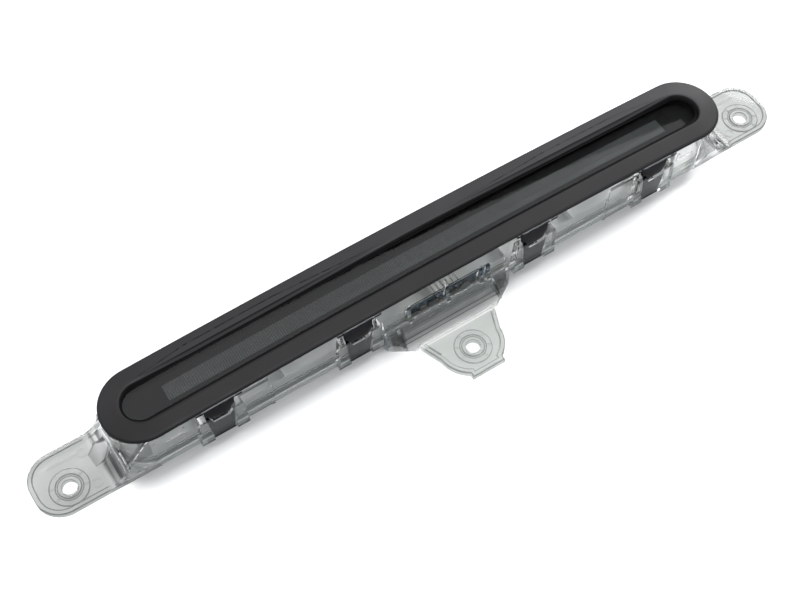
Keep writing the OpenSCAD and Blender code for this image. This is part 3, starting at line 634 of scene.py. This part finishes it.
def shoulder_edge(co):
    """Side edges of the end blocks' sloped shoulders and sweeps."""
    on_side = abs(abs(co.y - LAMP_Y) - END_HALF_W) < 0.03
    return on_side and END_START < abs(co.x) < END_STOP and co.z > -0.41


# Light passes the two clear mouldings freely
housing = soften("housing", "housing_shell", where=housing_edge, wide=(shoulder_edge, 1.1))
housing.visible_shadow = False
NODES["outer_lens"].visible_shadow = False
soften("rear_cover", "rear_cover_moulding", 0.3)
soften("connector_shell", "connector_moulding", 0.25)
soften("vent_cap", "vent_cap_moulding", 0.2, 0.3)
soften("rear_seal", "rear_seal_ring", 0.1, shrink=0.04)
soften("bezel_seal", "bezel_seal_ring", 0.1, shrink=0.04)
soften("lens_bead", "lens_bead_line", 0.05, shrink=0.03)
soften("connector_seal", "connector_seal_ring", 0.1, shrink=0.03)
soften("rear_cover_screws", "rear_cover_screw_set", 0.12, 0.3)


# ---------- floor, lights and camera ----------


def floor():
    bm = bmesh.new()
    n = 64
    turns = [2 * math.pi * i / n for i in range(n)]
    loops = []
    for r in (0.4, 0.9, 2.0, 4.0, 12.0, 40.0):
        loops.append([bm.verts.new((r * math.cos(turn), r * math.sin(turn), 0)) for turn in turns])
    centre = bm.verts.new((0, 0, 0))
    for i in range(n):
        bm.faces.new((centre, loops[0][i], loops[0][(i + 1) % n]))
    bridge(bm, loops, closed=False)
    mesh = bpy.data.meshes.new("floor")
    bm.to_mesh(mesh)
    bm.free()
    obj = bpy.data.objects.new("floor", mesh)
    # A hair below the part, so that the faces don't coincide
    obj.location.z = FLOOR_Z * MM - 0.00002
    SCENE.collection.objects.link(obj)
    s = Shader("floor_paper", 0.8, Specular_IOR_Level=0.1)
    s.colour(s.noise(3, 2), (0.90, 0.90, 0.90), (0.92, 0.92, 0.92))
    s.bump(s.noise(700, 2), 0.02)
    mesh.materials.append(s.mat)
    # Glossy surfaces mirror the dim lower half of the studio, so dark upright faces stay dark
    obj.visible_glossy = False


floor()


def studio_world(base, per_x, per_y, below, above):
    """A wide pale studio, a little brighter from one side and from behind, and dim below the horizon."""
    world = bpy.data.worlds.new("studio")
    SCENE.world = world
    world.use_nodes = True
    nt = world.node_tree
    back = nt.nodes["Background"]
    way = nt.nodes.new("ShaderNodeTexCoord").outputs["Generated"]
    dot = nt.nodes.new("ShaderNodeVectorMath")
    dot.operation = "DOT_PRODUCT"
    dot.inputs[1].default_value = (per_x, per_y, 0)
    nt.links.new(way, dot.inputs[0])
    add = nt.nodes.new("ShaderNodeMath")
    add.inputs[1].default_value = base
    nt.links.new(dot.outputs["Value"], add.inputs[0])
    nt.links.new(add.outputs["Value"], back.inputs["Strength"])
    sep = nt.nodes.new("ShaderNodeSeparateXYZ")
    nt.links.new(way, sep.inputs["Vector"])
    height = nt.nodes.new("ShaderNodeMapRange")
    height.inputs["From Min"].default_value = -0.06
    height.inputs["From Max"].default_value = 0.06
    nt.links.new(sep.outputs[2], height.inputs["Value"])
    ramp = nt.nodes.new("ShaderNodeValToRGB")
    ramp.color_ramp.elements[0].color = (*below, 1)
    ramp.color_ramp.elements[1].color = (*above, 1)
    nt.links.new(height.outputs["Result"], ramp.inputs["Fac"])
    nt.links.new(ramp.outputs["Color"], back.inputs["Color"])


studio_world(0.95, 0.2, 0.3, (0.17, 0.21, 0.27), (0.97, 0.985, 1.0))


def area_light(name, location, target, size, power):
    """A soft square light that points at a target."""
    data = bpy.data.lights.new(name, "AREA")
    data.shape = "RECTANGLE"
    data.size, data.size_y = size, size
    data.energy = power
    obj = bpy.data.objects.new(name, data)
    obj.location = location
    aim = (Vector(target) - Vector(location)).to_track_quat("-Z", "Y").to_matrix().to_4x4()
    obj.matrix_world = Matrix.Translation(location) @ aim
    SCENE.collection.objects.link(obj)


area_light("key", (0.0, 0.03, 1.2), (0, 0, 0), 0.22, 9)
area_light("side", (0.6, 0.3, 0.38), (0.1, 0, 0), 0.25, 3)


def flag():
    """A black card that only reflections see: it keeps the lens dark towards its right end."""
    bm = bmesh.new()
    height = 1.19
    # An L: a wide bar behind the lamp and a leg past its right end
    left, leg, right = -1.2, 1.04, 2.2
    front, bar, back = -0.6, 0.656, 2.6
    pts = [(left, bar), (leg, bar), (leg, front), (right, front), (right, back), (left, back)]
    bm.faces.new([bm.verts.new((x, y, height)) for x, y in pts])
    mesh = bpy.data.meshes.new("flag")
    bm.to_mesh(mesh)
    bm.free()
    obj = bpy.data.objects.new("flag", mesh)
    SCENE.collection.objects.link(obj)
    s = Shader("flag_black", 0.9, Specular_IOR_Level=0.0)
    s.colour(s.noise(4, 2), (0.02, 0.02, 0.02), (0.03, 0.03, 0.03))
    mesh.materials.append(s.mat)
    obj.visible_camera = False
    obj.visible_diffuse = False
    obj.visible_shadow = False
    obj.visible_transmission = False


flag()


def look(azimuth, elevation, roll, distance, target, lens):
    """The camera, turned towards a point. Angles are in radians and lengths in millimetres."""
    data = bpy.data.cameras.new("camera")
    data.sensor_width = 36
    data.lens = lens
    data.clip_start, data.clip_end = 0.01, 50
    camera = bpy.data.objects.new("camera", data)
    SCENE.collection.objects.link(camera)
    back = Vector((math.sin(azimuth) * math.cos(elevation), -math.cos(azimuth) * math.cos(elevation),
                   math.sin(elevation)))
    right = Vector((math.cos(azimuth), math.sin(azimuth), 0))
    up = back.cross(right)
    rolled_right = math.cos(roll) * right + math.sin(roll) * up
    rolled_up = -math.sin(roll) * right + math.cos(roll) * up
    placed = Matrix((rolled_right, rolled_up, back)).transposed().to_4x4()
    placed.translation = (Vector(target) + back * distance) * MM
    camera.matrix_world = placed
    SCENE.camera = camera


look(-0.566, 1.029, -0.004, 612.9, (-16.49, 2.123, 0), 59.76)
SCENE.view_settings.view_transform = "Standard"
SCENE.view_settings.look = "None"
